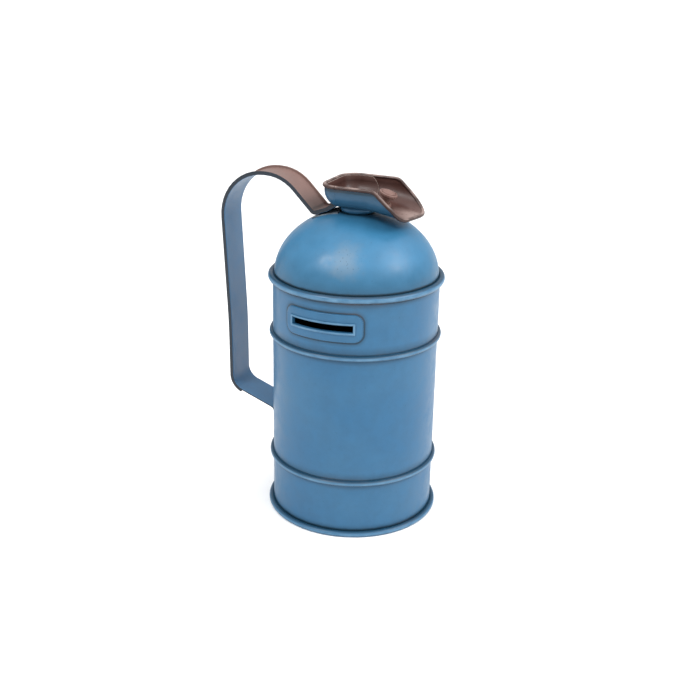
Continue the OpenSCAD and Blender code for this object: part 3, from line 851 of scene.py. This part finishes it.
class MONEYBOX_OT_scoop(Operator):
    """Folds the scoop's bowl and lip from sheet and rolls a rim round them"""

    bl_idname = "moneybox.scoop"
    bl_label = "Scoop"

    def execute(self, context):
        s = sizes()
        half = s.scoop_half / MM
        rim_z = s.rim_z / MM
        high = rim_z + 2

        # outside of the scoop: a darker copy of the blue as painted shade, with glaze and painted shade at its foot and
        # under the rim
        outside = worn_paint(
            "blue_enamel_scoop", BLUE, creases=((163.2, 1.0, 3.5, 0.9), (172.6, 3.0, 1.5, 0.9)),
            shaded_copy=colours().blue_painted_shade,
        )
        # inside of the scoop: glaze and painted shade under the rim, and a painted reflection of the light on the lip's
        # floor, with worn specks in it
        inside = worn_paint(
            "brown_enamel_scoop", BROWN, creases=((171.5, 8.0, 3.0, 0.6),), worn_spot_and_sheen=(29, 0, 160, 15, 0.75),
        )
        edge = worn_paint("brown_enamel_edge", EDGE)

        # the bowl is lapped inside the lip, so behind the lap its outside stands out flush with the lip's
        bowl = trough("bowl", SCOOP_BACK, 6.0, half, high, LAP_IN, with_back=True)
        dress(bowl, outside, inside, edge)
        cut(mm(LAP_X - 0.05, 0, 0), (1, 0, 0))
        cut(mm(0, 0, rim_z), (0, 0, 1), drop_outer=True)
        for k in range(0, 11):
            turn = math.radians(k * 7.5)
            n = Vector((math.cos(turn), 0, math.sin(turn)))
            cut(Vector(mm(LAP_X, 0, 166.5)) + n * 9.8 * MM, n, drop_outer=True)
        finish_with(
            bowl, "SOLIDIFY", thickness=SCOOP_T * MM, offset=-1, use_even_offset=True, material_offset=1,
            material_offset_rim=2,
        )
        bpy.ops.object.mode_set(mode="EDIT")
        pick("faces", lambda f: f.material_index == 0 and f.calc_center_median().x < (LAP_X - 0.05) * MM)
        bpy.ops.mesh.extrude_region_shrink_fatten(TRANSFORM_OT_shrink_fatten={"value": LAP_IN * MM})
        soften(bowl, 0.12, angle=60)

        rim_line = trough("rim_line", SCOOP_BACK, LAP_X - 0.05, half, high, 0, with_back=True)
        cut(mm(0, 0, rim_z), (0, 0, 1), drop_outer=True)
        bowl_rim = wire_along(
            "bowl_rim", rim_line, s.rim_r,
            lambda e: e.is_boundary and middle(e).z > (rim_z - 0.01) * MM,
        )
        bpy.ops.object.mode_set(mode="OBJECT")
        bpy.data.meshes.remove(rim_line.data)

        # the lip: the same trough, open at both ends, falling and narrowing to its tip
        lip = trough("lip", LAP_X, BEND_X, half, high, 0, with_back=False)
        dress(lip, outside, inside, edge)
        width = half
        step = (TIP_X - BEND_X) / LIP_STEPS
        for k in range(1, LIP_STEPS + 1):
            front = (BEND_X + (k - 1) * step - 0.1) * MM
            pick("edges", lambda e: e.is_boundary and min(v.co.x for v in e.verts) > front)
            bpy.ops.mesh.extrude_edges_move(TRANSFORM_OT_translate={"value": mm(step, 0, -TIP_FALL / LIP_STEPS)})
            narrow = half + (TIP_HALF - half) * k / LIP_STEPS
            bpy.ops.transform.resize(value=(1, narrow / width, 1), center_override=(0, 0, 0))
            width = narrow
        centre = Vector((CORNER_X - LIP_BEND * math.tan(SLOPE / 2), 0, rim_z - LIP_BEND))
        for k in range(LIP_STEPS + 1):
            turn = SLOPE * k / LIP_STEPS
            n = Vector((math.sin(turn), 0, math.cos(turn)))
            cut((centre + n * LIP_BEND) * MM, n, drop_outer=True)
        down = Vector((math.cos(SLOPE), 0, -math.sin(SLOPE)))
        across = Vector((0, 1, 0))
        corner = Vector((CORNER_X, 0, rim_z))
        tip_from = corner + down * TIP_START
        cut(tip_from * MM, down)
        # the front edge slants a little, and its two corners are rounded by planes set round them
        # (side, corner radius, how far down the slope it reaches, first plane's turn in degrees)
        for side, radius, reach, first in ((-1, 11.5, 20.2, 8), (1, 7.0, 21.7, 0)):
            pivot = corner + down * (reach - radius) + across * side * (TIP_HALF - radius)
            for turned_by in range(first, 80, 6):
                turn = math.radians(turned_by)
                n = down * math.cos(turn) + across * side * math.sin(turn)
                pick("faces", lambda f: (f.calc_center_median() / MM - tip_from).dot(down) > 0)
                bpy.ops.mesh.bisect(plane_co=(pivot + n * radius) * MM, plane_no=n, clear_outer=True, threshold=1e-7)
        lip_rim = wire_along(
            "lip_rim", lip, s.rim_r,
            lambda e: e.is_boundary and max(v.co.x for v in e.verts) > (LAP_X + 0.01) * MM,
        )
        finish_with(
            lip, "SOLIDIFY", thickness=SCOOP_T * MM, offset=-1, use_even_offset=True, material_offset=1,
            material_offset_rim=2,
        )
        # the rim's top is painted pale: rubbed paint and a painted highlight where it faces up
        rim_paint = worn_paint("brown_enamel_rim", RIM, worn_and_lit_top=True)
        dress(bowl_rim, rim_paint)
        dress(lip_rim, rim_paint)
        hand_over(bowl, "brown_paint", "can", "basin")
        hand_over(lip, "brown_paint", "can", "pouring_lip")
        hand_over(bowl_rim, "brown_paint", "can", "basin_rim", smooth=60)
        hand_over(lip_rim, "brown_paint", "can", "lip_rim", smooth=60)
        return {"FINISHED"}


def trough(name, back, front, half, high, inset, with_back):
    """A box with no top and no front, its long bottom edges well rounded, as one skin"""
    low = SCOOP_Z + inset
    back += inset if with_back else 0
    half -= inset
    skin = fresh(
        name, bpy.ops.mesh.primitive_cube_add, size=1,
        location=mm((back + front) / 2, 0, (low + high) / 2), scale=mm(front - back, 2 * half, high - low),
    )
    pick("faces", lambda f: f.normal.z > 0.5 or f.normal.x > 0.5 or (f.normal.x < -0.5 and not with_back))
    bpy.ops.mesh.delete(type="FACE")
    pick("edges", lambda e: not e.is_boundary and (with_back or abs(middle(e).z - low * MM) < 1e-6))
    bpy.ops.mesh.bevel(
        offset=(SCOOP_FILLET - inset) * MM, segments=10, affect="EDGES", clamp_overlap=False, profile=0.5
    )
    return skin


def wire_along(name, sheet, radius, wanted):
    """Rolls a round wire along the edges of a sheet that wanted() says"""
    pick("edges", wanted)
    bpy.ops.mesh.duplicate()
    bpy.ops.mesh.separate(type="SELECTED")
    bpy.ops.object.mode_set(mode="OBJECT")
    wire = [o for o in bpy.context.selected_objects if o is not sheet][0]
    only(wire)
    wire.name = wire.data.name = name
    bpy.ops.object.mode_set(mode="EDIT")
    bpy.ops.mesh.select_all(action="SELECT")
    bpy.ops.mesh.remove_doubles(threshold=0.35 * MM)
    bpy.ops.object.mode_set(mode="OBJECT")
    bpy.ops.object.convert(target="CURVE")
    wire.data.bevel_depth = radius
    wire.data.bevel_resolution = 4
    wire.data.use_fill_caps = True
    bpy.ops.object.convert(target="MESH")
    only(sheet)
    return wire


class MONEYBOX_OT_knob(Operator):
    """Turns the knob with its seat and stem, leaning towards the lip"""

    bl_idname = "moneybox.knob"
    bl_label = "Knob"

    def execute(self, context):
        s = sizes()
        lean = next(j for j in frame["joints"] if j["name"] == "knob_turn")
        foot = Vector(lean["pos_m"])
        tilt = math.atan2(lean["axis"][0], lean["axis"][2])
        r = s.knob_r / MM
        paint = worn_paint("brown_enamel_knob", KNOB)
        for name, corners, closed, body, node in (
            ("knob_seat", ((2.08, -0.7, 0), (2.08, 2.8, 0.2), (3.0, 2.8, 0.5), (3.4, 1.2, 0.4), (3.4, -0.7, 0)),
             True, "can", "knob_seat"),
            ("knob_stem", ((0, 1.4, 0), (2, 1.4, 0), (2, KNOB_Z + 0.7, 0), (0, KNOB_Z + 0.7, 0)), False, "knob",
             "knob_stem"),
            ("knob_head", tuple((a, KNOB_Z + b, c) for a, b, c in (
                (2.0, -1.2, 0), (r - 1.1, -1.2, 0.3), (r - 0.9, -0.1, 0.2), (r - 0.3, 0, 0.1),
                (r, 0.3, 0.3), (r, 1.3, 0.35), (r - 0.7, 1.45, 0.2), (r - 0.85, 1.1, 0.12),
                (r - 1.15, 1.1, 0.12), (r - 1.3, 1.6, 0.4), (r - 2.9, 2.3, 4), (0, 2.6, 0),
            )), False, "knob", "knob_head"),
        ):
            piece = turned(name, corners, closed, steps=72)
            bpy.ops.object.mode_set(mode="OBJECT")
            piece.location = foot
            piece.rotation_euler = (0, tilt, 0)
            dress(piece, paint)
            hand_over(piece, "brown_paint", body, node)
        return {"FINISHED"}


class MONEYBOX_OT_handle(Operator):
    """Bends the handle's strap with its turned-out edges, and the saddle under its tongue"""

    bl_idname = "moneybox.handle"
    bl_label = "Handle"

    def execute(self, context):
        s = sizes()
        points = rounded(STRAP_CORNERS)
        strap = fresh(
            "handle_strap", bpy.ops.mesh.primitive_plane_add, size=1,
        )
        width = s.strap_w
        edge_from = width / 2 - STRAP_T * MM
        bpy.ops.transform.resize(value=(0, width, 1))
        bpy.ops.mesh.remove_doubles(threshold=1e-6)
        bpy.ops.mesh.delete(type="ONLY_FACE")
        bpy.ops.mesh.select_all(action="SELECT")
        here = points[0]
        bpy.ops.transform.translate(value=mm(here.x, 0, here.y))
        for point in points[1:]:
            bpy.ops.mesh.extrude_edges_move(
                TRANSFORM_OT_translate={"value": mm(point.x - here.x, 0, point.y - here.y)}
            )
            here = point
        for side in (-1, 1):
            cut((0, side * edge_from, 0), (0, 1, 0))
        bpy.ops.mesh.select_all(action="SELECT")
        bpy.ops.mesh.normals_make_consistent(inside=False)
        bpy.ops.object.mode_set(mode="OBJECT")
        if faces_out(strap):
            bpy.ops.object.mode_set(mode="EDIT")
            bpy.ops.mesh.flip_normals()
            bpy.ops.object.mode_set(mode="OBJECT")
        dress(
            strap, worn_paint("blue_grey_enamel_strap", STRAP_IN),
            # the outside darkens in a band round the tongue's height, where it runs in under the scoop: glaze and
            # painted shade
            worn_paint("brown_enamel_strap", STRAP_OUT, creases=((159.5, 2.0, 5.0, 0.85),)),
            worn_paint("dark_enamel_strap_edge", STRAP_EDGE),
        )
        finish_with(
            strap, "SOLIDIFY", thickness=STRAP_T * MM, offset=-1, use_even_offset=True, material_offset=1,
            material_offset_rim=2,
        )
        bpy.ops.object.mode_set(mode="EDIT")

        def flange(face):
            spot = face.calc_center_median()
            return abs(spot.y) > edge_from and face.material_index == 1 and spot.z > 52 * MM and spot.x < -9.5 * MM

        pick("faces", flange)
        bpy.ops.mesh.extrude_region_shrink_fatten(TRANSFORM_OT_shrink_fatten={"value": FLANGE_OUT * MM})
        pick("faces", lambda f: abs(f.normal.y) > 0.9 and abs(f.calc_center_median().y) > width / 2 - 0.1 * MM)
        bpy.context.object.active_material_index = 2
        bpy.ops.object.material_slot_assign()
        soften(strap, 0.3, angle=50, segments=3)
        hand_over(strap, "strap_paint", "can", "handle_strap")

        saddle_r = s.wall_r - (SHEET + DOME_GAP) * MM
        top = WALL_TOP * MM
        saddle = fresh(
            "strap_saddle", bpy.ops.mesh.primitive_uv_sphere_add, segments=ROUND, ring_count=96,
            radius=saddle_r, location=(0, 0, top),
        )
        bpy.ops.transform.resize(value=(1, 1, s.dome_h / saddle_r), center_override=(0, 0, top))
        for place, normal in (
            (mm(0, 0, 140), (0, 0, -1)), (mm(-21, 0, 0), (-1, 0, 0)), (mm(-7, 0, 0), (1, 0, 0)),
            (mm(0, -8.6, 0), (0, -1, 0)), (mm(0, 8.6, 0), (0, 1, 0)),
        ):
            cut(place, normal, drop_outer=True)
        finish_with(saddle, "SOLIDIFY", thickness=0.5 * MM, offset=1, use_even_offset=True)
        soften(saddle, 0.15, angle=50)
        dress(saddle, bare_tin("bare_tin_saddle"))
        hand_over(saddle, "bare_tin", "can", "strap_saddle")
        return {"FINISHED"}


def faces_out(strap):
    """Whether the drawn ribbon faces away from the hand's gap"""
    upright = min(strap.data.polygons, key=lambda p: (p.center - Vector(mm(-70, 0, 130))).length)
    return upright.normal.x < 0


class MONEYBOX_OT_stage(Operator):
    """Sets the pale floor, the soft lights and the camera"""

    bl_idname = "moneybox.stage"
    bl_label = "Stage"

    def execute(self, context):
        scene = context.scene
        if context.mode != "OBJECT":
            bpy.ops.object.mode_set(mode="OBJECT")
        bpy.ops.object.select_all(action="DESELECT")
        bpy.ops.mesh.primitive_plane_add(size=30)
        floor = context.object
        floor.name = floor.data.name = "floor"
        material, tree, shader = new_finish("matt_paper_floor")
        shader.inputs["Base Color"].default_value = linear("#f4f4f4")
        shader.inputs["Roughness"].default_value = 0.9
        floor.data.materials.append(material)

        world = bpy.data.worlds.new("studio")
        world.use_nodes = True
        scene.world = world
        background = world.node_tree.nodes["Background"]
        background.inputs["Color"].default_value = (1, 1, 1, 1)
        background.inputs["Strength"].default_value = 0.75
        bpy.ops.object.light_add(type="SUN", location=(0, 0, 2), rotation=(0.05, 0.35, 0))
        context.object.name = "overhead"
        context.object.data.energy = 2.0
        context.object.data.angle = math.radians(100)
        # (azimuth, height angle, distance, size, watts) of each softbox
        for name, azimuth, rise, away, size, power in (
            ("left_softbox", -30, 46, 1.1, 0.24, 5.2),
            ("right_softbox", 95, 41, 1.1, 0.5, 6.5),
        ):
            a, e = math.radians(azimuth), math.radians(rise)
            aim = Vector((math.sin(a) * math.cos(e), -math.cos(a) * math.cos(e), math.sin(e)))
            place = Vector((0, 0, 0.1)) + aim * away
            bpy.ops.object.light_add(type="AREA", location=place, rotation=aim.to_track_quat("Z", "Y").to_euler())
            lamp = context.object
            lamp.name = name
            lamp.data.size = size
            lamp.data.energy = power
        turn = Matrix.Identity(4)
        for degrees, axis in zip(CAMERA_TURNS, "ZXZ"):
            turn = turn @ Matrix.Rotation(math.radians(degrees), 4, axis)
        bpy.ops.object.camera_add(location=CAMERA_AT, rotation=turn.to_euler())
        camera = context.object
        camera.name = "camera"
        camera.data.lens = CAMERA_LENS
        camera.data.sensor_width = 36
        camera.data.clip_start = 0.01
        scene.camera = camera
        scene.view_settings.view_transform = "Standard"
        return {"FINISHED"}


class MONEYBOX_PT_sidebar(Panel):
    """Lists the steps that model the money box"""

    bl_label = "Money box"
    bl_space_type = "VIEW_3D"
    bl_region_type = "UI"
    bl_category = "Money box"

    def draw(self, context):
        layout = self.layout
        for group in (context.scene.money_box_sizes, context.scene.money_box_colours):
            for prop in group.bl_rna.properties.keys():
                if prop not in ("rna_type", "name"):
                    layout.prop(group, prop)
        for step in STEPS:
            layout.operator(step.bl_idname)


STEPS = (
    MONEYBOX_OT_wall, MONEYBOX_OT_slot_plate, MONEYBOX_OT_hoops, MONEYBOX_OT_dome, MONEYBOX_OT_base,
    MONEYBOX_OT_collar, MONEYBOX_OT_scoop, MONEYBOX_OT_knob, MONEYBOX_OT_handle, MONEYBOX_OT_stage,
)
CLASSES = (MoneyBoxSizes, MoneyBoxColours) + STEPS + (MONEYBOX_PT_sidebar,)


def register():
    for cls in CLASSES:
        bpy.utils.register_class(cls)
    bpy.types.Scene.money_box_sizes = PointerProperty(type=MoneyBoxSizes)
    bpy.types.Scene.money_box_colours = PointerProperty(type=MoneyBoxColours)


def unregister():
    del bpy.types.Scene.money_box_colours
    del bpy.types.Scene.money_box_sizes
    for cls in reversed(CLASSES):
        bpy.utils.unregister_class(cls)


def main():
    """Registers the add-on and builds the money box"""
    register()
    bpy.ops.moneybox.wall()
    bpy.ops.moneybox.slot_plate()
    bpy.ops.moneybox.hoops()
    bpy.ops.moneybox.dome()
    bpy.ops.moneybox.base()
    bpy.ops.moneybox.collar()
    bpy.ops.moneybox.scoop()
    bpy.ops.moneybox.knob()
    bpy.ops.moneybox.handle()
    bpy.ops.moneybox.stage()


if __name__ == "__main__":
    main()
